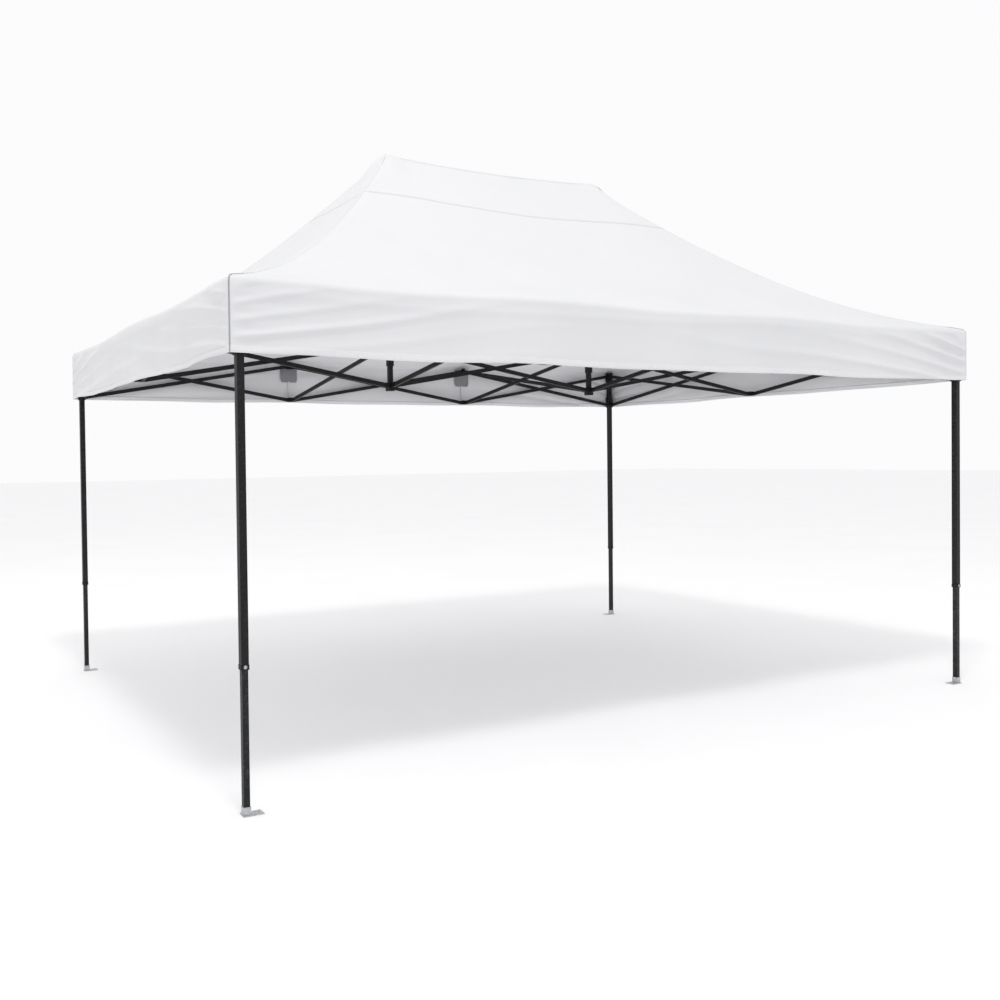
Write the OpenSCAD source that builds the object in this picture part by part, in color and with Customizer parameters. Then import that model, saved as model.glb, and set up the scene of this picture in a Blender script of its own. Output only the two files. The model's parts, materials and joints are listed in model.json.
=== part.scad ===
// Pop up gazebo: a folding scissor frame on four telescopic legs under a hipped fabric canopy.
// Millimetres, +Z up, +X along the long side, -Y is the front, origin on the ground under the middle.

/* [Overall] */
// Length of the canopy along the long side
canopy_l = 4500; // [4440:10:4600]
// Depth of the canopy along the short side
canopy_w = 3000; // [2980:10:3080]
// Height of the canopy peaks above the ground
peak_h = 3100; // [3060:10:3300]
// Height of the eave above the ground
eave_h = 2050; // [2045:5:2070]
// Height of the valance that hangs from the eave
valance_h = 290; // [200:10:320]
// Thickness of the canopy fabric
fabric_t = 2; // [1.5:0.5:4]

/* [Scissor frame] */
// Distance between neighbouring joints of the frame
bay = 1465; // [1460:1:1468]
// Distance from a joint's centre to each of its bar pivots
pivot_off = 35; // [34:0.5:38]
// Height of the upper bar pivots
top_pivot_h = 2010; // [2000:5:2015]
// Rise of each scissor pair between its lower and upper pivots
scissor_h = 235; // [215:5:250]
// Depth of a truss bar
bar_d = 24; // [20:1:24]
// Thickness of a truss bar across the pair
bar_t = 12; // [10:0.5:12]
// Wall of every tube
wall = 1; // [0.8:0.1:1.4]
// Radius of the pivot pins
pin_r = 4; // [3:0.5:5]
// Radial running clearance of the pins
pin_clear = 0.06; // [0.02:0.01:0.1]

/* [Legs] */
// Side of the square outer leg tube
outer_tube = 30; // [28:0.5:30]
// Side of the square inner leg tube
inner_tube = 25; // [22:0.5:26]
// Height of the outer tube's lower end
outer_bottom = 580; // [570:5:582]
// Length of inner tube held inside the outer tube
tube_overlap = 250; // [200:10:300]
// Length of a foot plate along the long side
foot_l = 84; // [70:2:100]
// Width of a foot plate
foot_w = 46; // [40:2:60]
// Thickness of a foot plate
foot_t = 4; // [3:0.5:6]
// Radius of the ground peg hole in a foot plate
peg_r = 5; // [4:0.5:7]

/* [Crown] */
// Side of the square crown pole
pole = 25; // [22:0.5:25]
// Length of the guide sleeve below the upper crown hub's pivots
sleeve_l = 125; // [100:5:130]

/* [Hidden] */
$fn = 40;
low_pivot_h = top_pivot_h - scissor_h;
span = bay - 2 * pivot_off;
bar_len = sqrt(span * span + scissor_h * scissor_h);
bar_a = atan(scissor_h / span);
side = bar_t / 2 + 0.5;
block = 40;
colx = [-1.5 * bay, -0.5 * bay, 0.5 * bay, 1.5 * bay];
rowy = [-bay, 0, bay];
ex = canopy_l / 2;
ey = canopy_w / 2;

CORNERS = [["front_left", 0, 0], ["front_right", 3, 0], ["back_left", 0, 2], ["back_right", 3, 2]];
EDGES = [
  ["front_left_mid", 1, 0], ["front_right_mid", 2, 0], ["back_left_mid", 1, 2],
  ["back_right_mid", 2, 2], ["left_mid", 0, 1], ["right_mid", 3, 1]
];
CROWNS = [["left", 1, 1], ["right", 2, 1]];
// Scissor pairs: name, column and row where the pair starts, and 0 along X or 1 along Y
PAIRS = [
  ["front_left", 0, 0, 0], ["front_centre", 1, 0, 0], ["front_right", 2, 0, 0],
  ["back_left", 0, 2, 0], ["back_centre", 1, 2, 0], ["back_right", 2, 2, 0],
  ["left_front", 0, 0, 1], ["left_back", 0, 1, 1],
  ["inner_left_front", 1, 0, 1], ["inner_left_back", 1, 1, 1],
  ["inner_right_front", 2, 0, 1], ["inner_right_back", 2, 1, 1],
  ["right_front", 3, 0, 1], ["right_back", 3, 1, 1]
];
RIDGE = [["left", 0], ["centre", 1], ["right", 2]];

// Directions in which a joint meets a neighbour, as turns of 90 degrees from +X
function dirs(i, j) = concat(i < 3 ? [0] : [], j < 2 ? [1] : [], i > 0 ? [2] : [], j > 0 ? [3] : []);

// Square tube standing on z0
module square_tube(s, z0, z1) {
  translate([-s / 2, -s / 2, z0]) difference() {
    cube([s, s, z1 - z0]);
    translate([wall, wall, -1]) cube([s - 2 * wall, s - 2 * wall, z1 - z0 + 2]);
  }
}

// Square collar with a square bore
module collar(s, bore, z0, z1) {
  translate([0, 0, z0]) difference() {
    translate([-s / 2, -s / 2, 0]) cube([s, s, z1 - z0]);
    translate([-bore / 2, -bore / 2, -1]) cube([bore, bore, z1 - z0 + 2]);
  }
}

// Fork that holds one bar end: up = -1 for an upper joint and 1 for a lower joint
module fork(q, up) {
  rotate([0, 0, 90 * q]) translate([pivot_off, up * side, 0]) {
    for (s = [-1, 1]) translate([0, s * (bar_t / 2 + 2.4), 0]) {
      translate([block / 2 - 1 - pivot_off, -2, -13]) cube([pivot_off - block / 2 + 1, 4, 26]);
      rotate([90, 0, 0]) cylinder(r = 13, h = 4, center = true);
    }
    rotate([90, 0, 0]) cylinder(r = pin_r, h = bar_t + 12, center = true);
  }
}

// Bar of a scissor pair, drawn from its upper pivot at the origin down to its lower pivot along +X
module bar(rivet) {
  translate([span / 2, 0, -scissor_h / 2]) {
    rotate([0, bar_a, 0]) difference() {
      union() {
        difference() {
          translate([-bar_len / 2, -bar_t / 2, -bar_d / 2]) cube([bar_len, bar_t, bar_d]);
          translate([-bar_len / 2 + 16, -bar_t / 2 + wall, -bar_d / 2 + wall])
            cube([bar_len - 32, bar_t - 2 * wall, bar_d - 2 * wall]);
        }
        for (s = [-1, 1]) translate([s * bar_len / 2, 0, 0]) rotate([90, 0, 0])
          cylinder(r = bar_d / 2 + 0.6, h = bar_t, center = true);
      }
      for (x = [-bar_len / 2, 0, bar_len / 2]) translate([x, 0, 0]) rotate([90, 0, 0])
        cylinder(r = pin_r + pin_clear, h = bar_t + 2, center = true);
    }
    if (rivet) {
      translate([0, side, 0]) rotate([90, 0, 0]) {
        cylinder(r = pin_r, h = 2 * bar_t + 3, center = true);
        for (s = [-1, 1]) translate([0, 0, s * (bar_t + 1.8)]) cylinder(r = 8, h = 2, center = true);
      }
    }
  }
}

// Bar of the pair that starts at column i, row j: q is the turn from its upper end to its lower end
module placed_bar(i, j, q, rivet) {
  color("#232427") translate([colx[i], rowy[j], top_pivot_h]) rotate([0, 0, 90 * q])
    translate([pivot_off, -side, 0]) bar(rivet);
}
module falling_bar(p) placed_bar(p[1], p[2], p[3], true);
module rising_bar(p) placed_bar(p[1] + (p[3] == 0 ? 1 : 0), p[2] + p[3], p[3] + 2, false);

// Outer leg tube with its fixed top bracket
module leg(c) {
  translate([colx[c[1]], rowy[c[2]], 0]) {
    color("#2a2b2e") square_tube(outer_tube, outer_bottom, top_pivot_h + 26);
    color("#1b1c1e") {
      difference() {
        union() {
          translate([-block / 2, -block / 2, top_pivot_h - 40]) cube([block, block, 72]);
          translate([0, 0, top_pivot_h]) for (q = dirs(c[1], c[2])) fork(q, -1);
        }
        translate([-outer_tube / 2 - 0.2, -outer_tube / 2 - 0.2, top_pivot_h - 41])
          cube([outer_tube + 0.4, outer_tube + 0.4, 67]);
      }
    }
  }
}

// Sliding bracket that runs down the outer tube and locks with a pull pin
module slider(c) {
  sx = c[1] == 0 ? -1 : 1;
  translate([colx[c[1]], rowy[c[2]], low_pivot_h]) {
    color("#1b1c1e") difference() {
      union() {
        translate([-block / 2, -block / 2, -22]) cube([block, block, 84]);
        for (q = dirs(c[1], c[2])) fork(q, 1);
      }
      translate([-outer_tube / 2 - 0.35, -outer_tube / 2 - 0.35, -30])
        cube([outer_tube + 0.7, outer_tube + 0.7, 110]);
    }
    color("#9a9da1") translate([sx * block / 2, 0, 36]) rotate([0, sx * 90, 0]) {
      cylinder(r = 4, h = 9);
      translate([0, 0, 9]) cylinder(r = 8, h = 5);
    }
  }
}

// Inner leg tube with its foot plate, which reaches inwards
module lower_leg(c) {
  sx = c[1] == 0 ? 1 : -1;
  translate([colx[c[1]], rowy[c[2]], 0]) {
    color("#3a3b3f") square_tube(inner_tube, foot_t, outer_bottom + tube_overlap);
    color("#b9bbbd") difference() {
      union() {
        translate([sx > 0 ? -inner_tube / 2 - 5 : inner_tube / 2 + 5 - foot_l, -foot_w / 2, 0])
          cube([foot_l, foot_w, foot_t]);
        collar(inner_tube + 5, inner_tube + 0.4, foot_t - 0.5, 34);
      }
      translate([sx * (foot_l - inner_tube / 2 - 19), 0, -1]) cylinder(r = peg_r, h = foot_t + 2);
    }
  }
}

// Upper joint in the middle of an edge, with a pad that carries the eave
module top_joint(e) {
  translate([colx[e[1]], rowy[e[2]], top_pivot_h]) color("#1b1c1e") {
    translate([-block / 2, -block / 2, -16]) cube([block, block, 32]);
    for (q = dirs(e[1], e[2])) fork(q, -1);
    translate([0, 0, 15]) cylinder(r = 15, h = 15);
  }
}

// Lower joint in the middle of an edge
module bottom_joint(e) {
  translate([colx[e[1]], rowy[e[2]], low_pivot_h]) color("#1b1c1e") {
    translate([-block / 2, -block / 2, -14]) cube([block, block, 30]);
    for (q = dirs(e[1], e[2])) fork(q, 1);
  }
}

// Upper crown hub, which slides up the crown pole as the frame folds
module crown_hub(c) {
  translate([colx[c[1]], rowy[c[2]], top_pivot_h]) color("#1b1c1e") difference() {
    union() {
      translate([-block / 2, -block / 2, -16]) cube([block, block, 32]);
      for (q = dirs(c[1], c[2])) fork(q, -1);
      translate([-pole / 2 - 4, -pole / 2 - 4, -sleeve_l]) cube([pole + 8, pole + 8, sleeve_l]);
    }
    translate([-pole / 2 - 0.4, -pole / 2 - 0.4, -sleeve_l - 1])
      cube([pole + 0.8, pole + 0.8, sleeve_l + 40]);
  }
}

// Crown pole with the lower crown hub fixed at its foot and a domed end plug
module crown_pole(c) {
  translate([colx[c[1]], rowy[c[2]], 0]) {
    color("#2a2b2e") square_tube(pole, low_pivot_h - 24, peak_h - 32);
    color("#1b1c1e") difference() {
      translate([0, 0, low_pivot_h]) {
        translate([-block / 2, -block / 2, -34]) cube([block, block, 50]);
        for (q = dirs(c[1], c[2])) fork(q, 1);
      }
      translate([-pole / 2 - 0.15, -pole / 2 - 0.15, low_pivot_h - 24])
        cube([pole + 0.3, pole + 0.3, 60]);
    }
    color("#1b1c1e") translate([0, 0, peak_h - 32]) cylinder(r1 = 12.4, r2 = 8, h = 10);
  }
}

// Roof and valance outline, drawn in by d and let down by drop
module canopy_form(d, drop) {
  top = peak_h - (d > 0 ? d * 1.5 : 0);
  hull() {
    translate([-ex + d, -ey + d, eave_h - 40]) cube([canopy_l - 2 * d, canopy_w - 2 * d, 40 - d * 0.5]);
    translate([-bay / 2 - 12, -12, top - 10]) cube([bay + 24, 24, 10]);
  }
  translate([-ex + d, -ey + d, eave_h - valance_h - drop])
    cube([canopy_l - 2 * d, canopy_w - 2 * d, valance_h - 20 + drop]);
}

// Hipped canopy with its valance, open underneath
module canopy() {
  color("#eceef0") difference() {
    canopy_form(0, 0);
    canopy_form(fabric_t, 2);
  }
}

// Scissor pair of the inner row between the crown hubs and the short sides
module ridge_truss(i) {
  placed_bar(i, 1, 0, true);
  placed_bar(i + 1, 1, 2, false);
}

canopy();
for (c = CORNERS) leg(c);
for (c = CORNERS) slider(c);
for (c = CORNERS) lower_leg(c);
for (e = EDGES) top_joint(e);
for (e = EDGES) bottom_joint(e);
for (c = CROWNS) crown_hub(c);
for (c = CROWNS) crown_pole(c);
for (p = PAIRS) falling_bar(p);
for (p = PAIRS) rising_bar(p);
for (r = RIDGE) ridge_truss(r[1]);
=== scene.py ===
import json
import math

import bpy
import numpy as np
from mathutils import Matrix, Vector

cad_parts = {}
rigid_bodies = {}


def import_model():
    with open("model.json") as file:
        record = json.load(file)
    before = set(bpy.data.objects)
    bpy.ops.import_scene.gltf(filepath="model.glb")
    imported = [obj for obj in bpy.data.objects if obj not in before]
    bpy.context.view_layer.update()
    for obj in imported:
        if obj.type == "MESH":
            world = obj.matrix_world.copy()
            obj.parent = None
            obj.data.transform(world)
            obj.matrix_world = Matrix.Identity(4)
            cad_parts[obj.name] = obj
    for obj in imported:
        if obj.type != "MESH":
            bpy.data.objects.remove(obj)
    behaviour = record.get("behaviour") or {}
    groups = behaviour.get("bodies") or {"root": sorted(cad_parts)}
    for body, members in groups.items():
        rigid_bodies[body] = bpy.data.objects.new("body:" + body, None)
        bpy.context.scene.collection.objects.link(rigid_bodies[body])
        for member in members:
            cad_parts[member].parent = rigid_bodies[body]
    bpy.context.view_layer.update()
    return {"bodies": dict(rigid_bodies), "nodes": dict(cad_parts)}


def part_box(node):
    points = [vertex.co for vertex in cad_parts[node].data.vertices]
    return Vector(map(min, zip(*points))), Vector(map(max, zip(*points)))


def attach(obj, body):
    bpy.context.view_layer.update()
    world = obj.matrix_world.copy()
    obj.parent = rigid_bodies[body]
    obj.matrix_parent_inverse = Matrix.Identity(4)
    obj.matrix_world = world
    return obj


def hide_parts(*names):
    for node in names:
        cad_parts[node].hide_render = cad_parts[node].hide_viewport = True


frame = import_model()
nodes = frame["nodes"]
bodies = frame["bodies"]

# ---------------------------------------------------------------- sizes, in metres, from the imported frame
c_lo, c_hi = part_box("canopy")
HL, HW = c_hi.x, c_hi.y  # half length and half depth of the eave
HEM, PEAK = c_lo.z, c_hi.z
EAVE = 2.05
p_lo, p_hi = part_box("crown_pole_right")
PX = (p_lo.x + p_hi.x) / 2  # the crown poles stand at x = +-PX, y = 0
BAY = 2 * PX
COLS = [-1.5 * BAY, -0.5 * BAY, 0.5 * BAY, 1.5 * BAY]
ROWS = [-BAY, 0.0, BAY]
CORNERS = {"front_left": (0, 0), "front_right": (3, 0), "back_left": (0, 2), "back_right": (3, 2)}
RC = 0.016  # corner radius of the canopy in plan
RE = 0.030  # radius of the eave


def smoothstep(x):
    x = np.clip(x, 0, 1)
    return x * x * (3 - 2 * x)


def smin(a, b, k):
    h = np.maximum(k - np.abs(a - b), 0) / k
    return np.minimum(a, b) - h * h * k / 4


def smax(a, b, k):
    return -smin(-a, -b, k)


# ---------------------------------------------------------------- the canopy's surface
SAG = 0.150
ANG = np.array([0.3, 1.9, 4.4, 2.7, 5.6, 3.5, 0.9, 2.2])


def roof_t(x, y):
    """0 at the eave and 1 at the ridge, on a hipped roof with softened hips."""
    ay = np.sqrt(y * y + 0.018**2) - 0.018
    tf = 1 - ay / HW
    ts = (HL - np.abs(x)) / (HL - PX)
    return smin(tf, ts, 0.022)


def roof_z(x, y):
    t = roof_t(x, y)
    tf = 1 - np.abs(y) / HW
    ts = (HL - np.abs(x)) / (HL - PX)
    h = t - 4 * SAG * t * (1 - t) * (1 + 0.35 * (0.5 - t))
    z = EAVE + (PEAK - EAVE) * h
    # the ridge hangs between the two peaks, and each slope between its hips
    along = np.clip(1 - (x / PX) ** 2, 0, 1)
    z = z - 0.022 * along * smoothstep((t - 0.35) / 0.65)
    q = np.clip(np.abs(tf - ts) / 0.8, 0, 1)
    z = z - 0.020 * 4 * np.clip(t * (1 - t), 0, 1) * smoothstep(q)
    # broad, slow waves
    z = z + 0.0045 * np.sin(2.3 * x + 0.7) * np.sin(1.9 * y + 0.5) * 4 * t * (1 - t)
    z = z + 0.0018 * np.sin(7.1 * x + 2.0 * y + 1.3) * np.sin(3.3 * y - 1.1 * x) * 4 * t * (1 - t)
    # creases that fan out of the four corners, and finer ones out of the peaks
    for k, (cx, cy) in enumerate(((-HL, -HW), (HL, -HW), (-HL, HW), (HL, HW))):
        dx, dy = np.abs(x - cx), np.abs(y - cy)
        r = np.hypot(dx, dy) + 1e-9
        phi = np.arctan2(dy, dx)
        env = smoothstep(r / 0.10) * np.exp(-r / 0.42) * np.sin(np.clip(phi * 2, 0, np.pi)) ** 0.5
        z = z + 0.0050 * env * np.sin(17 * phi + ANG[k] + 1.3 * r)
        env2 = smoothstep((r - 0.2) / 0.3) * np.exp(-r / 1.1) * np.sin(np.clip(phi * 2, 0, np.pi))
        z = z + 0.0035 * env2 * np.sin(9 * phi + ANG[k + 4])
    for k, px in enumerate((-PX, PX)):
        r = np.hypot(x - px, y) + 1e-9
        phi = np.arctan2(y, x - px)
        env = smoothstep((r - 0.05) / 0.10) * np.exp(-r / 0.30)
        z = z + 0.0028 * env * np.sin(11 * phi + ANG[k + 2])
        cap = PEAK - 0.0005 - r * r / (2 * 0.085)
        z = np.where(r < 0.16, smax(z, cap, 0.020), z)
    # the eave bears on the joints and sags a little between them
    d = np.minimum(HL - np.abs(x), HW - np.abs(y))
    z = z + eave_dip(x, y) * np.exp(-np.maximum(d, 0) / 0.22)
    return np.minimum(z, PEAK)


def eave_dip(x, y):
    """How far the eave lies under its level between two joints."""
    on_long = (HW - np.abs(y)) < (HL - np.abs(x))
    cl = np.cos(np.pi * (x + PX) / BAY) ** 2
    cs = np.cos(np.pi * y / BAY) ** 2
    c = np.where(on_long, cl, cs)
    near = np.minimum(np.hypot(HL - np.abs(x), HW - np.abs(y)) / 0.3, 1)
    return -0.013 * (1 - c) * smoothstep(near)


D_E = RE * (1 - math.cos(math.radians(74)))
Z_IN = EAVE + (PEAK - EAVE) * (D_E / HW) * (1 - 4 * SAG * 1.175)
Z_C = Z_IN - RE * math.sin(math.radians(74))
# side: 0 front, 1 right, 2 back, 3 left
FAN = {  # side: (amplitude and phase at its first corner, amplitude and phase at its second)
    0: (0.0120, 0.15, 0.0200, 0.42),
    1: (0.0160, 0.80, 0.0130, 0.10),
    2: (0.0130, 0.35, 0.0140, 0.66),
    3: (0.0150, 0.52, 0.0130, 0.93),
}
WAVE = {0: (0.2, 1.7), 1: (2.9, 0.4), 2: (4.1, 2.3), 3: (1.2, 5.0)}


def crease(u, ph):
    """Narrow ridges one unit apart, with soft hollows between them and no two alike."""
    k = np.floor(u)
    f = u - k
    return (0.72 + 0.28 * np.sin(2.4 * k + 9 * ph)) * np.exp(-(((f - 0.5) / 0.19) ** 2)) - 0.26


def valance_out(side, a, z):
    """Outward displacement of the valance, where a runs along the side from its first corner to its second."""
    half = HL if side in (0, 2) else HW
    v = np.clip((z - HEM) / (EAVE - HEM), 0, 1)
    out = np.zeros(np.broadcast(a, z).shape)
    f = FAN[side]
    for amp, ph, da in ((f[0], f[1], half + a), (f[2], f[3], half - a)):
        da = np.maximum(da, 0)
        fan = (z - (HEM + 0.04 + 0.13 * da)) / (0.12 + 0.08 * da)
        env = smoothstep(da / 0.07) * np.exp(-((da / 1.10) ** 1.3)) * np.sin(np.pi * np.clip(v * 0.84 + 0.12, 0, 1)) ** 0.7
        out = out + amp * env * crease(1.9 * fan + ph + 0.16 * np.sin(3.1 * da + 5 * ph), ph)
        # short pleats where the corner takes the pull
        env = smoothstep(da / 0.03) * np.exp(-da / 0.12) * np.sin(np.pi * np.clip(v, 0, 1))
        out = out + 0.0022 * env * np.sin(2 * np.pi * (z - HEM) / 0.058 + 9 * da + ph * 6)
    edge = smoothstep((half - np.abs(a)) / 0.28)
    w1, w2 = WAVE[side]
    out = out + edge * (1 - v) ** 0.8 * (0.0085 * np.sin(2 * np.pi * a / 1.31 + w1) + 0.0036 * np.sin(2 * np.pi * a / 0.47 + w2))
    out = out + edge * 0.0016 * np.sin(2 * np.pi * a / 0.23 + w2 * 2) * (1 - v)
    # a slack fold that runs along under the eave
    out = out + edge * 0.0028 * np.exp(-(((v - 0.80 - 0.05 * np.sin(1.7 * a + w1)) / 0.07) ** 2))
    return out * smoothstep((1 - v) / 0.10 + 0.15)


def hem_lift(side, a):
    """How far the hem's edge rises or drops along its side."""
    half = HL if side in (0, 2) else HW
    s = np.clip(1 - (a / half) ** 2, 0, 1)
    w1, w2 = WAVE[side]
    return -0.007 * s + 0.0022 * np.sin(2 * np.pi * a / 0.9 + w2) * smoothstep((half - np.abs(a)) / 0.2) + 0.004 * s


def graded(half, n):
    u = np.linspace(-1, 1, n + 1)
    return half * (0.42 * u + 0.58 * np.sin(np.pi * u / 2)) / (0.42 + 0.58)


def perimeter():
    """Eave points anticlockwise from the front left corner: x, y, outward normal, side and place along it."""
    rows = []
    spec = [
        (0, (1, 0), (0, -1), HL, HW, 150),
        (1, (0, 1), (1, 0), HW, HL, 104),
        (2, (-1, 0), (0, 1), HL, HW, 150),
        (3, (0, -1), (-1, 0), HW, HL, 104),
    ]
    for side, t, n, half, other, count in spec:
        for a in graded(half - RC, count):
            rows.append((t[0] * a + n[0] * other, t[1] * a + n[1] * other, n[0], n[1], side, a, 0.0))
        # the corner at the end of this side
        nn = t
        ox, oy = t[0] * (half - RC) + n[0] * (other - RC), t[1] * (half - RC) + n[1] * (other - RC)
        for k in range(1, 6):
            g = math.pi / 2 * k / 6
            cn = (n[0] * math.cos(g) + nn[0] * math.sin(g), n[1] * math.cos(g) + nn[1] * math.sin(g))
            rows.append((ox + RC * cn[0], oy + RC * cn[1], cn[0], cn[1], side, half, g))
    return np.array(rows, float)


PER = perimeter()
NP = len(PER)
NV = 38  # rings in the valance
ex, ey, nx, ny, sd, al, gg = PER.T


def valance_point(z_level):
    """One ring of the valance at a nominal height, for the whole perimeter."""
    out = np.zeros(NP)
    lift = np.zeros(NP)
    for side in range(4):
        m = sd == side
        a = al[m]
        out[m] = valance_out(side, a, np.full(a.shape, z_level))
        lift[m] = hem_lift(side, a)
    v = (z_level - HEM) / (Z_C - HEM)
    dip = eave_dip(ex, ey)
    z = z_level + lift * (1 - v) + dip * (0.45 + 0.55 * v)
    return np.stack([ex + nx * out, ey + ny * out, z], 1), out


def canopy_grid():
    rings = []
    for v in np.linspace(0, 1, NV):
        rings.append(valance_point(HEM + v * (Z_C - HEM))[0])
    _, out_top = valance_point(Z_C)
    dip = eave_dip(ex, ey)
    for th in np.radians([12, 24, 36, 48, 61, 74]):
        d = RE * (1 - math.cos(th))
        x, y = ex - nx * d, ey - ny * d
        rings.append(np.stack([x + nx * out_top * math.cos(th), y + ny * out_top * math.cos(th), Z_C + RE * math.sin(th) + dip], 1))
    x0, y0 = ex - nx * D_E, ey - ny * D_E
    side_face = (sd == 1) | (sd == 3)
    rx = np.where(side_face, np.sign(ex) * PX, np.clip(ex / (HL - RC), -1, 1) * PX)
    corner = gg > 0
    rx = np.where(corner, np.sign(ex) * PX, rx)
    ry = np.zeros(NP)
    for u in np.linspace(0, 1, 45)[1:]:
        s = 0.55 * u + 0.45 * u**1.9
        x = x0 + (rx - x0) * s
        y = y0 + (ry - y0) * s
        z = roof_z(x, y)
        # meets the rolled eave without a step
        w = smoothstep(s / 0.06)
        z_eave = Z_IN + dip + (z - z) + (roof_z(x, y) - roof_z(x0, y0))
        rings.append(np.stack([x, y, z_eave * (1 - w) + z * w], 1))
    return np.stack(rings, 0)


def mesh_object(name, verts, faces, smooth=True, uvs=None):
    me = bpy.data.meshes.new(name)
    me.from_pydata([tuple(map(float, v)) for v in verts], [], faces)
    me.validate()
    ob = bpy.data.objects.new(name, me)
    bpy.context.scene.collection.objects.link(ob)
    if smooth:
        me.polygons.foreach_set("use_smooth", [True] * len(me.polygons))
    if uvs is not None:
        layer = me.uv_layers.new(name="run")
        for loop in me.loops:
            layer.data[loop.index].uv = uvs[loop.vertex_index]
    me.update()
    return ob


def weld(verts, faces, tol=2e-5):
    """Merges vertices that coincide and drops faces that collapse."""
    key, remap, keep = {}, [], []
    for v in verts:
        k = tuple(np.round(np.asarray(v) / tol).astype(int))
        if k not in key:
            key[k] = len(keep)
            keep.append(v)
        remap.append(key[k])
    out = []
    seen = set()
    for f in faces:
        g = []
        for i in f:
            j = remap[i]
            if not g or g[-1] != j:
                g.append(j)
        if len(g) > 1 and g[0] == g[-1]:
            g.pop()
        if len(g) < 3 or len(set(g)) < 3:
            continue
        k = frozenset(g)
        if k in seen:
            continue
        seen.add(k)
        out.append(g)
    return keep, out


G = canopy_grid()
NR = G.shape[0]
# both ends of the ridge are exact, so that the two halves join
G[-1, :, 1] = 0.0
verts = G.reshape(-1, 3)
# the ridge's own line: the same height from both sides
ridge = roof_z(G[-1, :, 0], np.zeros(NP))
G[-1, :, 2] = ridge
faces = []
for r in range(NR - 1):
    for i in range(NP):
        j = (i + 1) % NP
        faces.append((r * NP + i, r * NP + j, (r + 1) * NP + j, (r + 1) * NP + i))
keep, welded = weld(verts, faces)
canopy = mesh_object("canopy_sheet", keep, welded)

# ---------------------------------------------------------------- how the canopy gathers as the frame folds
FOLD_HOOKS = []


def gather(ob):
    """The fabric follows the joints as the frame closes: in from each side, and down with the crown poles."""
    co = np.array([v.co for v in ob.data.vertices], float).reshape(-1, 3)
    x, y, z = co.T
    x1 = COLS[1]
    table = {
        "to_front": ("top_joint_front_left_mid", np.clip(-y / BAY, 0, 1)),
        "to_back": ("top_joint_back_left_mid", np.clip(y / BAY, 0, 1)),
        "to_left": ("top_joint_left_mid", np.clip((x1 - x) / (x1 - COLS[0]), 0, 1)),
        "to_right": ("top_joint_right_mid", np.clip((x - x1) / (COLS[3] - x1), 0, 1)),
        "to_pole": ("crown_pole_left", np.clip((z - EAVE) / (PEAK - EAVE), 0, 1) * 0.80),
    }
    for name, (body, w) in table.items():
        if float(w.max()) <= 0:
            continue
        vg = ob.vertex_groups.new(name=name)
        q = np.round(w, 4)
        for value in np.unique(q):
            if value > 0:
                vg.add([int(i) for i in np.nonzero(q == value)[0]], float(value), "REPLACE")
        m = ob.modifiers.new(name, "HOOK")
        m.object = bodies[body]
        m.vertex_group = name
        m.falloff_type = "NONE"
        m.strength = 1.0
    return ob


# ---------------------------------------------------------------- materials
def new_mat(name):
    m = bpy.data.materials.new(name)
    m.use_nodes = True
    nt = m.node_tree
    nt.nodes.clear()
    out = nt.nodes.new("ShaderNodeOutputMaterial")
    bsdf = nt.nodes.new("ShaderNodeBsdfPrincipled")
    nt.links.new(bsdf.outputs["BSDF"], out.inputs["Surface"])
    return m, nt, bsdf


def tex(nt, kind, **kw):
    n = nt.nodes.new(kind)
    for k, v in kw.items():
        if k in n.inputs:
            n.inputs[k].default_value = v
        else:
            setattr(n, k, v)
    return n


def coords(nt):
    return nt.nodes.new("ShaderNodeTexCoord").outputs["Object"]


def ramp(nt, stops):
    r = nt.nodes.new("ShaderNodeValToRGB")
    els = r.color_ramp.elements
    while len(els) > 1:
        els.remove(els[-1])
    els[0].position, els[0].color = stops[0][0], (*stops[0][1], 1)
    for p, c in stops[1:]:
        e = els.new(p)
        e.color = (*c, 1)
    return r


def math_node(nt, op, a, b=None):
    n = nt.nodes.new("ShaderNodeMath")
    n.operation = op
    for i, v in enumerate((a, b)):
        if v is None:
            continue
        if isinstance(v, (int, float)):
            n.inputs[i].default_value = v
        else:
            nt.links.new(v, n.inputs[i])
    return n.outputs[0]


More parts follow.
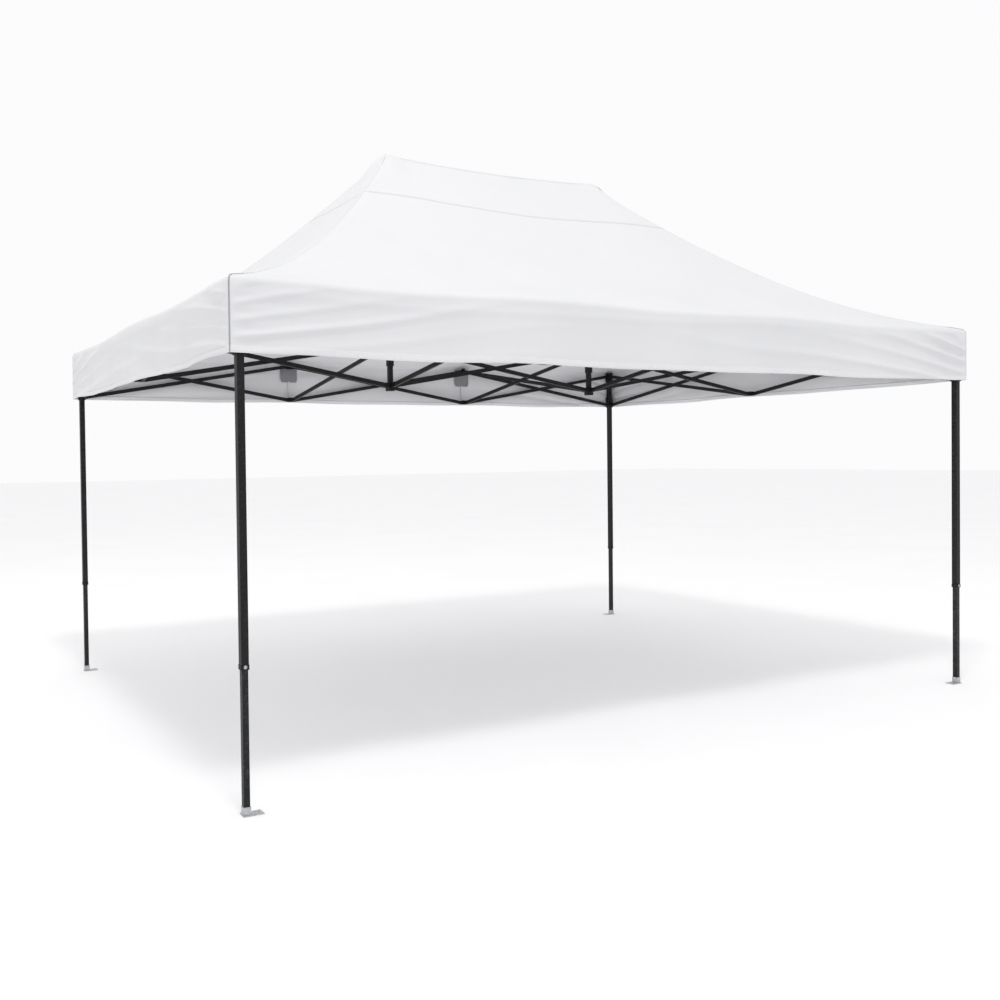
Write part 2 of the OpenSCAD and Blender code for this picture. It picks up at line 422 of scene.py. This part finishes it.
def fabric(name, base, dark, rough=0.62, sheen=0.25, weave=0.20, seed=0.0):
    """Coated polyester: a fine plain weave, faint mottling and a soft sheen."""
    m, nt, b = new_mat(name)
    co = coords(nt)
    mp = tex(nt, "ShaderNodeMapping")
    nt.links.new(co, mp.inputs["Vector"])
    mp.inputs["Location"].default_value = (seed, seed * 0.7, 0)
    big = tex(nt, "ShaderNodeTexNoise", Scale=2.2, Detail=5.0, Roughness=0.55)
    nt.links.new(mp.outputs[0], big.inputs["Vector"])
    fine = tex(nt, "ShaderNodeTexNoise", Scale=130.0, Detail=4.0, Roughness=0.6)
    nt.links.new(mp.outputs[0], fine.inputs["Vector"])
    mix = math_node(nt, "ADD", math_node(nt, "MULTIPLY", big.outputs["Fac"], 0.72), math_node(nt, "MULTIPLY", fine.outputs["Fac"], 0.28))
    r = ramp(nt, [(0.32, dark), (0.68, base)])
    nt.links.new(mix, r.inputs["Fac"])
    nt.links.new(r.outputs["Color"], b.inputs["Base Color"])
    rr = math_node(nt, "ADD", math_node(nt, "MULTIPLY", fine.outputs["Fac"], 0.16), rough - 0.08)
    nt.links.new(rr, b.inputs["Roughness"])
    b.inputs["Sheen Weight"].default_value = sheen
    b.inputs["Sheen Roughness"].default_value = 0.45
    b.inputs["Specular IOR Level"].default_value = 0.35
    # plain weave: two sets of threads, along each axis of the cloth
    waves = []
    for k, direction in enumerate(("X", "Y", "Z")):
        w = tex(nt, "ShaderNodeTexWave", Scale=260.0, Distortion=0.6, Detail=1.0)
        w.bands_direction = direction
        nt.links.new(mp.outputs[0], w.inputs["Vector"])
        waves.append(w.outputs["Fac"])
    threads = math_node(nt, "ADD", math_node(nt, "ADD", waves[0], waves[1]), waves[2])
    slub = tex(nt, "ShaderNodeTexNoise", Scale=38.0, Detail=3.0, Roughness=0.5)
    nt.links.new(mp.outputs[0], slub.inputs["Vector"])
    height = math_node(nt, "ADD", math_node(nt, "MULTIPLY", threads, 0.35), math_node(nt, "MULTIPLY", slub.outputs["Fac"], 1.6))
    bump = tex(nt, "ShaderNodeBump", Strength=weave, Distance=0.0016)
    nt.links.new(height, bump.inputs["Height"])
    nt.links.new(bump.outputs["Normal"], b.inputs["Normal"])
    return m


def coated_metal(name, base, worn, rough=0.46, peel=0.16, metallic=0.0, scratch=0.35, spec=0.3):
    """Powder coat: orange peel and rubbed edges."""
    m, nt, b = new_mat(name)
    co = coords(nt)
    n1 = tex(nt, "ShaderNodeTexNoise", Scale=620.0, Detail=3.0, Roughness=0.55)
    n2 = tex(nt, "ShaderNodeTexNoise", Scale=9.0, Detail=6.0, Roughness=0.6)
    n3 = tex(nt, "ShaderNodeTexNoise", Scale=75.0, Detail=6.0, Roughness=0.7)
    for n in (n1, n2, n3):
        nt.links.new(co, n.inputs["Vector"])
    geo = nt.nodes.new("ShaderNodeNewGeometry")
    edge = ramp(nt, [(0.515, (0, 0, 0)), (0.60, (1, 1, 1))])
    nt.links.new(geo.outputs["Pointiness"], edge.inputs["Fac"])
    brk = ramp(nt, [(0.50, (0, 0, 0)), (0.68, (1, 1, 1))])
    nt.links.new(n3.outputs["Fac"], brk.inputs["Fac"])
    wear = math_node(nt, "MULTIPLY", math_node(nt, "MULTIPLY", edge.outputs["Color"], brk.outputs["Color"]), scratch)
    mixc = nt.nodes.new("ShaderNodeMix")
    mixc.data_type = "RGBA"
    tone = ramp(nt, [(0.35, tuple(c * 0.80 for c in base)), (0.70, tuple(min(1, c * 1.30) for c in base))])
    nt.links.new(n2.outputs["Fac"], tone.inputs["Fac"])
    nt.links.new(wear, mixc.inputs[0])
    nt.links.new(tone.outputs["Color"], mixc.inputs[6])
    mixc.inputs[7].default_value = (*worn, 1)
    nt.links.new(mixc.outputs[2], b.inputs["Base Color"])
    rr = math_node(nt, "ADD", math_node(nt, "MULTIPLY", n2.outputs["Fac"], 0.18), rough - 0.09)
    nt.links.new(rr, b.inputs["Roughness"])
    b.inputs["Metallic"].default_value = metallic
    b.inputs["Specular IOR Level"].default_value = spec
    bump = tex(nt, "ShaderNodeBump", Strength=peel, Distance=0.0006)
    nt.links.new(n1.outputs["Fac"], bump.inputs["Height"])
    nt.links.new(bump.outputs["Normal"], b.inputs["Normal"])
    return m


def nylon(name, base, rough=0.55):
    """Moulded glass-filled nylon with a fine spark grain."""
    m, nt, b = new_mat(name)
    co = coords(nt)
    v = tex(nt, "ShaderNodeTexVoronoi", Scale=900.0)
    n2 = tex(nt, "ShaderNodeTexNoise", Scale=24.0, Detail=5.0, Roughness=0.6)
    for n in (v, n2):
        nt.links.new(co, n.inputs["Vector"])
    tone = ramp(nt, [(0.35, tuple(c * 0.85 for c in base)), (0.70, tuple(min(1, c * 1.25) for c in base))])
    nt.links.new(n2.outputs["Fac"], tone.inputs["Fac"])
    nt.links.new(tone.outputs["Color"], b.inputs["Base Color"])
    rr = math_node(nt, "ADD", math_node(nt, "MULTIPLY", n2.outputs["Fac"], 0.14), rough - 0.07)
    nt.links.new(rr, b.inputs["Roughness"])
    b.inputs["Specular IOR Level"].default_value = 0.24
    bump = tex(nt, "ShaderNodeBump", Strength=0.22, Distance=0.0005)
    nt.links.new(v.outputs["Distance"], bump.inputs["Height"])
    nt.links.new(bump.outputs["Normal"], b.inputs["Normal"])
    return m


def zinc(name):
    """Galvanised steel: pale spangle, dull, with faint scuffs."""
    m, nt, b = new_mat(name)
    co = coords(nt)
    v = tex(nt, "ShaderNodeTexVoronoi", Scale=130.0)
    n2 = tex(nt, "ShaderNodeTexNoise", Scale=60.0, Detail=6.0, Roughness=0.65)
    for n in (v, n2):
        nt.links.new(co, n.inputs["Vector"])
    mixf = math_node(nt, "ADD", math_node(nt, "MULTIPLY", v.outputs["Color"], 0.45), math_node(nt, "MULTIPLY", n2.outputs["Fac"], 0.55))
    tone = ramp(nt, [(0.25, (0.36, 0.37, 0.38)), (0.80, (0.62, 0.63, 0.64))])
    nt.links.new(mixf, tone.inputs["Fac"])
    nt.links.new(tone.outputs["Color"], b.inputs["Base Color"])
    rr = math_node(nt, "ADD", math_node(nt, "MULTIPLY", n2.outputs["Fac"], 0.22), 0.34)
    nt.links.new(rr, b.inputs["Roughness"])
    b.inputs["Metallic"].default_value = 0.75
    bump = tex(nt, "ShaderNodeBump", Strength=0.15, Distance=0.0005)
    nt.links.new(n2.outputs["Fac"], bump.inputs["Height"])
    nt.links.new(bump.outputs["Normal"], b.inputs["Normal"])
    return m


def stitched(name, base, thread, pitch=0.0042, lines=(0.25, 0.75), line_w=0.055, rough=0.6):
    """Fabric tape or seam with stitch rows. The UV runs in metres along it and from 0 to 1 across."""
    m, nt, b = new_mat(name)
    uv = tex(nt, "ShaderNodeUVMap")
    uv.uv_map = "run"
    sep = nt.nodes.new("ShaderNodeSeparateXYZ")
    nt.links.new(uv.outputs[0], sep.inputs[0])
    u, v = sep.outputs[0], sep.outputs[1]
    dash = math_node(nt, "LESS_THAN", math_node(nt, "FRACT", math_node(nt, "DIVIDE", u, pitch)), 0.68)
    rows = None
    for p in lines:
        near = math_node(nt, "LESS_THAN", math_node(nt, "ABSOLUTE", math_node(nt, "SUBTRACT", v, p)), line_w)
        rows = near if rows is None else math_node(nt, "MAXIMUM", rows, near)
    mask = math_node(nt, "MULTIPLY", dash, rows)
    co = coords(nt)
    n2 = tex(nt, "ShaderNodeTexNoise", Scale=90.0, Detail=5.0, Roughness=0.6)
    nt.links.new(co, n2.inputs["Vector"])
    tone = ramp(nt, [(0.30, tuple(c * 0.93 for c in base)), (0.70, base)])
    nt.links.new(n2.outputs["Fac"], tone.inputs["Fac"])
    mixc = nt.nodes.new("ShaderNodeMix")
    mixc.data_type = "RGBA"
    nt.links.new(mask, mixc.inputs[0])
    nt.links.new(tone.outputs["Color"], mixc.inputs[6])
    mixc.inputs[7].default_value = (*thread, 1)
    nt.links.new(mixc.outputs[2], b.inputs["Base Color"])
    rr = math_node(nt, "ADD", math_node(nt, "MULTIPLY", n2.outputs["Fac"], 0.16), rough - 0.08)
    nt.links.new(rr, b.inputs["Roughness"])
    b.inputs["Sheen Weight"].default_value = 0.2
    b.inputs["Specular IOR Level"].default_value = 0.35
    h = math_node(nt, "ADD", math_node(nt, "MULTIPLY", mask, 1.0), math_node(nt, "MULTIPLY", n2.outputs["Fac"], 0.5))
    bump = tex(nt, "ShaderNodeBump", Strength=0.35, Distance=0.0008)
    nt.links.new(h, bump.inputs["Height"])
    nt.links.new(bump.outputs["Normal"], b.inputs["Normal"])
    return m


def loop_tape(name, base):
    """Hook and loop: short dense pile."""
    m, nt, b = new_mat(name)
    co = coords(nt)
    v = tex(nt, "ShaderNodeTexVoronoi", Scale=520.0)
    n2 = tex(nt, "ShaderNodeTexNoise", Scale=160.0, Detail=6.0, Roughness=0.7)
    for n in (v, n2):
        nt.links.new(co, n.inputs["Vector"])
    tone = ramp(nt, [(0.30, tuple(c * 0.75 for c in base)), (0.75, tuple(min(1, c * 1.15) for c in base))])
    nt.links.new(n2.outputs["Fac"], tone.inputs["Fac"])
    nt.links.new(tone.outputs["Color"], b.inputs["Base Color"])
    b.inputs["Roughness"].default_value = 0.92
    b.inputs["Sheen Weight"].default_value = 0.5
    bump = tex(nt, "ShaderNodeBump", Strength=0.6, Distance=0.0012)
    nt.links.new(v.outputs["Distance"], bump.inputs["Height"])
    nt.links.new(bump.outputs["Normal"], b.inputs["Normal"])
    return m


M_TOP = fabric("canopy_polyester", (0.705, 0.706, 0.722), (0.674, 0.676, 0.692))
M_UNDER = fabric("canopy_coating", (0.64, 0.64, 0.655), (0.60, 0.60, 0.615), rough=0.50, sheen=0.1, weave=0.12, seed=3.1)
M_SEAM = stitched("canopy_seam", (0.665, 0.665, 0.682), (0.50, 0.50, 0.52))
M_HIP = stitched("canopy_hip_seam", (0.705, 0.705, 0.722), (0.60, 0.60, 0.62))
M_HEM = stitched("canopy_hem", (0.725, 0.725, 0.740), (0.56, 0.56, 0.58), lines=(0.16, 0.84), line_w=0.02)
M_CORNER = stitched("canopy_corner_seam", (0.30, 0.30, 0.32), (0.58, 0.58, 0.60))
M_BLACK = coated_metal("powder_coat_black", (0.006, 0.006, 0.0065), (0.05, 0.05, 0.053), rough=0.50, spec=0.22)
M_INNER = coated_metal("inner_tube_black", (0.007, 0.007, 0.008), (0.08, 0.08, 0.084), rough=0.44, peel=0.08, scratch=0.5, spec=0.24)
M_NYLON = nylon("joint_nylon", (0.006, 0.006, 0.0065))
M_ZINC = zinc("foot_zinc")
M_LOOP = loop_tape("hook_and_loop", (0.20, 0.20, 0.22))
M_WEB = stitched("strap_webbing", (0.66, 0.66, 0.675), (0.50, 0.50, 0.52), pitch=0.003, lines=(0.15, 0.85), line_w=0.04, rough=0.8)

# ---------------------------------------------------------------- the canopy itself
canopy.data.materials.append(M_TOP)
canopy.data.materials.append(M_UNDER)
gather(canopy)
sol = canopy.modifiers.new("cloth", "SOLIDIFY")
sol.thickness = 0.0011
sol.offset = -1.0
sol.material_offset = 1
sol.material_offset_rim = 0
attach(canopy, "crown_hub_left")
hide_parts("canopy")


def surface_normal_roof(x, y):
    e = 0.004
    zx = (roof_z(x + e, y) - roof_z(x - e, y)) / (2 * e)
    zy = (roof_z(x, y + e) - roof_z(x, y - e)) / (2 * e)
    n = np.stack([-zx, -zy, np.ones_like(zx)], -1)
    return n / np.linalg.norm(n, axis=-1, keepdims=True)


PROFILE = [(-1.0, -0.0006), (-0.86, 0.0007), (-0.45, 0.0012), (0.0, 0.0009), (0.45, 0.0012), (0.86, 0.0007), (1.0, -0.0006), (0.0, -0.0009)]


def strip(name, centre, across, normal, width, closed, mat, profile=PROFILE, lift=1.0):
    """A sewn tape that follows the points, with its stitch rows in UV."""
    n, k = len(centre), len(profile)
    vs, uv = [], []
    run = np.concatenate([[0], np.cumsum(np.linalg.norm(np.diff(centre, axis=0), axis=1))])
    for i in range(n):
        for c, h in profile:
            vs.append(centre[i] + across[i] * (c * width / 2) + normal[i] * (h * lift))
            uv.append((float(run[i]), float((c + 1) / 2)))
    fs = []
    last = n if closed else n - 1
    for i in range(last):
        j = (i + 1) % n
        for a in range(k):
            b = (a + 1) % k
            fs.append((i * k + a, j * k + a, j * k + b, i * k + b))
    if not closed:
        fs.append(tuple(range(k)))
        fs.append(tuple(reversed(range((n - 1) * k, n * k))))
    ob = mesh_object(name, vs, fs, uvs=uv)
    ob.data.materials.append(mat)
    return ob


def fit_face_out(ob):
    """Turns the mesh's faces outward."""
    import bmesh

    bm = bmesh.new()
    bm.from_mesh(ob.data)
    bmesh.ops.recalc_face_normals(bm, faces=bm.faces)
    bm.to_mesh(ob.data)
    bm.free()
    return ob


def canopy_trim(ob):
    fit_face_out(ob)
    gather(ob)
    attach(ob, "crown_hub_left")
    return ob


# hip seams, from each corner's eave to its peak
for name, (ci, cj) in CORNERS.items():
    sx, sy = (1 if ci else -1), (1 if cj else -1)
    start = np.array([sx * (HL - 0.030), sy * (HW - 0.030)])
    end = np.array([sx * PX, 0.0])
    d = (end - start) / np.linalg.norm(end - start)
    end = end - d * 0.035
    s = np.linspace(0, 1, 130)
    xy = start + (end - start) * s[:, None]
    side = np.array([-d[1], d[0]])
    nrm = surface_normal_roof(xy[:, 0], xy[:, 1])
    z = roof_z(xy[:, 0], xy[:, 1])
    w = 0.013
    zl = roof_z(xy[:, 0] + side[0] * w / 2, xy[:, 1] + side[1] * w / 2)
    zr = roof_z(xy[:, 0] - side[0] * w / 2, xy[:, 1] - side[1] * w / 2)
    ctr = np.stack([xy[:, 0], xy[:, 1], z + 0.0003], 1)
    acr = np.stack([np.full(len(s), side[0]), np.full(len(s), side[1]), (zl - zr) / w], 1)
    canopy_trim(strip("hip_seam_" + name, ctr, acr, nrm, w, False, M_HIP))

# the seam that joins the crown panel to the lower roof
TS = 0.77
hx, hy = HL - TS * (HL - PX), HW * (1 - TS)
loop = []
rr = 0.05
for (cx, cy, a0) in ((hx - rr, -(hy - rr), -90), (hx - rr, hy - rr, 0), (-(hx - rr), hy - rr, 90), (-(hx - rr), -(hy - rr), 180)):
    for g in range(0, 91, 15):
        q = math.radians(a0 + g)
        loop.append((cx + rr * math.cos(q), cy + rr * math.sin(q)))
loop = np.array(loop)
fine = []
for i in range(len(loop)):
    a, b = loop[i], loop[(i + 1) % len(loop)]
    n = max(1, int(np.linalg.norm(b - a) / 0.025))
    for k in range(n):
        fine.append(a + (b - a) * k / n)
fine = np.array(fine)
nxt, prv = np.roll(fine, -1, 0), np.roll(fine, 1, 0)
tg = (nxt - prv) / np.linalg.norm(nxt - prv, axis=1, keepdims=True)
sd2 = np.stack([tg[:, 1], -tg[:, 0]], 1)
w = 0.014
z = roof_z(fine[:, 0], fine[:, 1])
zl = roof_z(fine[:, 0] + sd2[:, 0] * w / 2, fine[:, 1] + sd2[:, 1] * w / 2)
zr = roof_z(fine[:, 0] - sd2[:, 0] * w / 2, fine[:, 1] - sd2[:, 1] * w / 2)
ctr = np.stack([fine[:, 0], fine[:, 1], z + 0.0003], 1)
acr = np.stack([sd2[:, 0], sd2[:, 1], (zl - zr) / w], 1)
nrm = surface_normal_roof(fine[:, 0], fine[:, 1])
canopy_trim(strip("crown_panel_seam", ctr, acr, nrm, w, True, M_SEAM))

# the corner seams of the valance, over the eave
for name, (ci, cj) in CORNERS.items():
    sx, sy = (1 if ci else -1), (1 if cj else -1)
    g45 = [i for i in range(NP) if gg[i] > 0 and abs(gg[i] - math.pi / 4) < 1e-6 and np.sign(ex[i]) == sx and np.sign(ey[i]) == sy][0]
    col = G[: NV + 7, g45, :]
    nvec = np.array([nx[g45], ny[g45], 0.0])
    tang = np.array([-ny[g45], nx[g45], 0.0])
    nn = []
    for r in range(len(col)):
        if r < NV:
            nn.append(nvec)
        else:
            th = math.radians([12, 24, 36, 48, 61, 74, 74][min(r - NV, 6)])
            nn.append(nvec * math.cos(th) + np.array([0, 0, 1]) * math.sin(th))
    nn = np.array(nn)
    prof = [(-1.0, -0.0022), (-0.7, 0.0002), (-0.3, 0.0013), (0.3, 0.0013), (0.7, 0.0002), (1.0, -0.0022), (0.0, -0.0009)]
    canopy_trim(strip("corner_seam_" + name, col + nn * 0.0004, np.repeat(tang[None], len(col), 0), nn, 0.009, False, M_CORNER, profile=prof))

# the hem: the edge is turned up and sewn, all the way round
hem_h = 0.026
levels = np.linspace(0, 1, 5) * hem_h
outer = [valance_point(HEM + z)[0] for z in levels]
nv = np.stack([nx, ny, np.zeros(NP)], 1)
sec = []
for k, p in enumerate(outer):
    sec.append(p + nv * (0.0010 if k < 4 else 0.0001))
sec.append(outer[-1] + nv * -0.0006)
sec_in = []
for k, p in enumerate(outer):
    sec_in.append(p - nv * (0.0011 + (0.0010 if k < 4 else 0.0002)))
bottom = [outer[0] + nv * 0.0004 + np.array([0, 0, -0.0012]), outer[0] - nv * 0.0014 + np.array([0, 0, -0.0012])]
ring = sec[:-1] + [sec[-1]] + list(reversed(sec_in)) + [bottom[1], bottom[0]]
vcoord = [0.0, 0.25, 0.5, 0.75, 1.0, 1.0] + [1.0, 0.75, 0.5, 0.25, 0.0] + [0.0, 0.0]
run = np.concatenate([[0], np.cumsum(np.linalg.norm(np.diff(outer[0], axis=0), axis=1))])
vs, uv, fs = [], [], []
K = len(ring)
for i in range(NP):
    for k in range(K):
        vs.append(ring[k][i])
        uv.append((float(run[i]), float(vcoord[k])))
for i in range(NP):
    j = (i + 1) % NP
    for k in range(K):
        b = (k + 1) % K
        fs.append((i * K + k, j * K + k, j * K + b, i * K + b))
hem = mesh_object("canopy_hem_band", vs, fs, uvs=uv)
hem.data.materials.append(M_HEM)
canopy_trim(hem)


# ---------------------------------------------------------------- patches and straps inside the valance
def cloth_tab(name, centre, wide, tall, normal, drop=0.0, mat=None, thick=0.0012, bow=0.004):
    """A small hanging piece of cloth or tape, two layers thick, on the inner side of the valance."""
    nvx, nvy = normal
    tx, ty = -nvy, nvx
    nu, nw = 12, 12
    vs, uv, fs = [], [], []
    for layer in (0, 1):
        for j in range(nw + 1):
            for i in range(nu + 1):
                u, w = i / nu - 0.5, j / nw
                # rounded corners at the lower edge
                edge = 1 - 0.16 * max(0.0, (w - 0.72) / 0.28) ** 2
                off = bow * math.sin(math.pi * w) * math.cos(math.pi * u) + 0.0014 * math.sin(7 * u + 5 * w)
                x = centre[0] + tx * u * wide * edge - nvx * (off + layer * thick)
                y = centre[1] + ty * u * wide * edge - nvy * (off + layer * thick)
                z = centre[2] - w * tall - drop * abs(u) * 2
                vs.append((x, y, z))
                uv.append((float(w * tall), float(u + 0.5)))
    base = (nu + 1) * (nw + 1)

    def at(layer, i, j):
        return layer * base + j * (nu + 1) + i

    for j in range(nw):
        for i in range(nu):
            fs.append((at(0, i, j), at(0, i + 1, j), at(0, i + 1, j + 1), at(0, i, j + 1)))
            fs.append((at(1, i, j), at(1, i, j + 1), at(1, i + 1, j + 1), at(1, i + 1, j)))
    for i in range(nu):
        fs.append((at(0, i, 0), at(1, i, 0), at(1, i + 1, 0), at(0, i + 1, 0)))
        fs.append((at(0, i, nw), at(0, i + 1, nw), at(1, i + 1, nw), at(1, i, nw)))
    for j in range(nw):
        fs.append((at(0, 0, j), at(0, 0, j + 1), at(1, 0, j + 1), at(1, 0, j)))
        fs.append((at(0, nu, j), at(1, nu, j), at(1, nu, j + 1), at(0, nu, j + 1)))
    ob = mesh_object(name, vs, fs, uvs=uv)
    ob.data.materials.append(mat or M_LOOP)
    return canopy_trim(ob)


IN = 0.0034
PATCH = {"front_left_mid": 0.128, "front_right_mid": 0.128, "back_left_mid": 0.128, "back_right_mid": 0.128, "left_mid": 0.128, "right_mid": 0.060}
for label, (ix, iy, normal) in {
    "front_left_mid": (COLS[1], -HW, (0, -1)),
    "front_right_mid": (COLS[2], -HW, (0, -1)),
    "back_left_mid": (COLS[1], HW, (0, 1)),
    "back_right_mid": (COLS[2], HW, (0, 1)),
    "left_mid": (-HL, ROWS[1], (-1, 0)),
    "right_mid": (HL, ROWS[1], (1, 0)),
}.items():
    side = {(0, -1): 0, (1, 0): 1, (0, 1): 2, (-1, 0): 3}[normal]
    a = ix if side == 0 else -ix if side == 2 else iy if side == 1 else -iy
    room = float(valance_out(side, np.array([a]), np.array([1.93]))[0])
    room = min(room, 0.0)
    c = (ix + normal[0] * (room - IN - 0.003), iy + normal[1] * (room - IN - 0.003), 2.030)
    cloth_tab("patch_" + label, c, PATCH[label], PATCH[label], normal, bow=0.0006)
    if label != "right_mid":
        cloth_tab("tie_strap_" + label, (c[0], c[1], 1.908), 0.013, 0.104, normal, mat=M_WEB, bow=0.0004)

# ---------------------------------------------------------------- frame: materials for the CAD nodes
for name, ob in nodes.items():
    if name.startswith("canopy"):
        continue
    if name.startswith(("leg_", "bar_", "ridge_truss", "crown_pole")):
        mat = M_BLACK
    elif name.startswith("lower_leg"):
        mat = M_INNER
    else:
        mat = M_NYLON
    me = ob.data
    me.materials.clear()
    me.materials.append(mat)
    me.polygons.foreach_set("material_index", [0] * len(me.polygons))
    if name.startswith("lower_leg"):
        me.materials.append(M_ZINC)
        idx = [1 if p.center.z < 0.0345 else 0 for p in me.polygons]
        me.polygons.foreach_set("material_index", idx)
    me.update()

# ---------------------------------------------------------------- ridge trusses: one bar each, so that they fold with the rest
for part in ("left", "centre", "right"):
    for way in ("falling", "rising"):
        src = nodes[f"bar_front_{part}_{way}"]
        ob = bpy.data.objects.new(f"ridge_bar_{part}_{way}", src.data.copy())
        bpy.context.scene.collection.objects.link(ob)
        co = np.array([v.co for v in ob.data.vertices], float).reshape(-1, 3)
        co[:, 1] += BAY
        ob.data.vertices.foreach_set("co", co.astype(np.float32).ravel())
        ob.data.update()
        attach(ob, f"bar_front_{part}_{way}")
        vg = ob.vertex_groups.new(name="between_rows")
        vg.add(list(range(len(ob.data.vertices))), 0.5, "REPLACE")
        m = ob.modifiers.new("between_rows", "HOOK")
        m.object = bodies[f"bar_back_{part}_{way}"]
        m.vertex_group = "between_rows"
        m.strength = 1.0
        m.falloff_type = "NONE"
    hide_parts(f"ridge_truss_{part}")


# ---------------------------------------------------------------- small frame parts
def square_ring(name, cx, cy, z0, z1, inner, outer_w, round_r, mat, lip=0.0012):
    """A moulded square collar with rounded corners and broken edges, open through the middle."""
    def outline(half, rad, n=5):
        pts = []
        for (sx, sy, a0) in ((1, 1, 0), (-1, 1, 90), (-1, -1, 180), (1, -1, 270)):
            for k in range(n + 1):
                q = math.radians(a0 + 90 * k / n)
                pts.append((sx * (half - rad) + rad * math.cos(q), sy * (half - rad) + rad * math.sin(q)))
        return pts

    ro, ri = outer_w / 2, inner / 2
    sections = [
        (outline(ri, 0.0004), z0 + lip), (outline(ri + lip, 0.0010), z0),
        (outline(ro - lip, round_r - lip * 0.6), z0), (outline(ro, round_r), z0 + lip),
        (outline(ro, round_r), z1 - lip * 2.2), (outline(ro - lip * 2, round_r - lip * 0.9), z1),
        (outline(ri + lip, 0.0010), z1), (outline(ri, 0.0004), z1 - lip),
    ]
    vs, fs = [], []
    n = len(sections[0][0])
    for pts, z in sections:
        for (x, y) in pts:
            vs.append((cx + x, cy + y, z))
    S = len(sections)
    for s in range(S):
        t = (s + 1) % S
        for i in range(n):
            j = (i + 1) % n
            fs.append((s * n + i, s * n + j, t * n + j, t * n + i))
    ob = mesh_object(name, vs, fs, smooth=False)
    fit_face_out(ob)
    ob.data.materials.append(mat)
    return ob


def dome(name, centre, direction, radius, height, mat, collar=0.0016):
    """A pressed spring button with a small rim round it."""
    d = Vector(direction).normalized()
    up = Vector((0, 0, 1))
    side = d.cross(up).normalized()
    prof = [(radius * 1.42, 0.0), (radius * 1.40, 0.0006), (radius * 1.12, 0.0008), (radius * 1.02, 0.0004), (radius, 0.0006),
            (radius, height * 0.55), (radius * 0.90, height * 0.82), (radius * 0.62, height * 0.97), (radius * 0.25, height)]
    n = 28
    vs, fs = [], []
    for r, h in prof:
        for i in range(n):
            q = 2 * math.pi * i / n
            p = Vector(centre) + d * h + side * (r * math.cos(q)) + up * (r * math.sin(q))
            vs.append(tuple(p))
    for s in range(len(prof) - 1):
        for i in range(n):
            j = (i + 1) % n
            fs.append((s * n + i, s * n + j, (s + 1) * n + j, (s + 1) * n + i))
    fs.append(tuple(range(n)))
    fs.append(tuple((len(prof) - 1) * n + i for i in range(n)))
    ob = mesh_object(name, vs, fs)
    fit_face_out(ob)
    ob.data.materials.append(mat)
    return ob


Z_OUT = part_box("leg_front_left")[0].z
for name, (ci, cj) in CORNERS.items():
    cx, cy = COLS[ci], ROWS[cj]
    sy = 1 if cj else -1
    ring_ob = square_ring("tube_collar_" + name, cx, cy, Z_OUT - 0.022, Z_OUT - 0.0002, 0.0257, 0.0346, 0.0040, M_NYLON)
    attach(ring_ob, "leg_" + name)
    b = dome("height_button_" + name, (cx, cy + sy * (0.0173 - 0.0002), Z_OUT - 0.0110), (0, sy, 0), 0.0052, 0.0042, M_ZINC)
    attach(b, "leg_" + name)

# ---------------------------------------------------------------- floor, light and camera
def stage_plane():
    vs = [(-60, -60, 0), (60, -60, 0), (60, 60, 0), (-60, 60, 0)]
    ob = mesh_object("studio_floor", vs, [(0, 1, 2, 3)], smooth=False)
    m, nt, b = new_mat("studio_floor_paint")
    n = tex(nt, "ShaderNodeTexNoise", Scale=0.8, Detail=3.0)
    nt.links.new(coords(nt), n.inputs["Vector"])
    r = ramp(nt, [(0.3, (0.93, 0.93, 0.933)), (0.7, (0.95, 0.95, 0.952))])
    nt.links.new(n.outputs["Fac"], r.inputs["Fac"])
    nt.links.new(r.outputs["Color"], b.inputs["Base Color"])
    b.inputs["Roughness"].default_value = 0.85
    b.inputs["Specular IOR Level"].default_value = 0.1
    ob.data.materials.append(m)
    return ob


stage_plane()
world = bpy.data.worlds.new("studio")
bpy.context.scene.world = world
world.use_nodes = True
bg = world.node_tree.nodes["Background"]
bg.inputs["Color"].default_value = (0.99, 0.99, 1.0, 1)
bg.inputs["Strength"].default_value = 0.98


def area_light(name, loc, target, size, power, color=(1, 1, 1)):
    data = bpy.data.lights.new(name, "AREA")
    data.shape = "RECTANGLE"
    data.size, data.size_y = size
    data.energy = power
    data.color = color
    ob = bpy.data.objects.new(name, data)
    bpy.context.scene.collection.objects.link(ob)
    ob.location = loc
    ob.rotation_mode = "QUATERNION"
    ob.rotation_quaternion = (Vector(target) - Vector(loc)).to_track_quat("-Z", "Y")
    ob.visible_camera = False
    return ob


area_light("key", (-2.6, -4.1, 9.7), (0.6, -0.5, 2.2), (1.4, 1.4), 265, (1.0, 0.995, 0.985))
area_light("rim", (-9.0, 5.0, 4.0), (0, 0, 2.0), (4, 3), 40)
area_light("fill", (0.0, 0.0, 0.12), (0.0, 0.0, 2.5), (4.0, 2.6), 26)

cam_data = bpy.data.cameras.new("camera")
cam = bpy.data.objects.new("camera", cam_data)
bpy.context.scene.collection.objects.link(cam)
yaw, pitch, roll = math.radians(-26.6), math.radians(-1.03), math.radians(-0.77)
fwd = Vector((-math.sin(yaw) * math.cos(pitch), math.cos(yaw) * math.cos(pitch), math.sin(pitch)))
right = Vector((math.cos(yaw), math.sin(yaw), 0.0))
up = right.cross(fwd)
r2 = right * math.cos(roll) + up * math.sin(roll)
u2 = up * math.cos(roll) - right * math.sin(roll)
from mathutils import Matrix

cam.rotation_mode = "QUATERNION"
cam.rotation_quaternion = Matrix((r2, u2, -fwd)).transposed().to_quaternion()
cam.location = (-3.49, -4.97, 1.36)
cam_data.lens = 35.24
cam_data.sensor_width = 36.0
cam_data.shift_x = 0.15
cam_data.shift_y = -0.025
cam_data.clip_end = 200
bpy.context.scene.camera = cam
bpy.context.scene.view_settings.view_transform = "Standard"
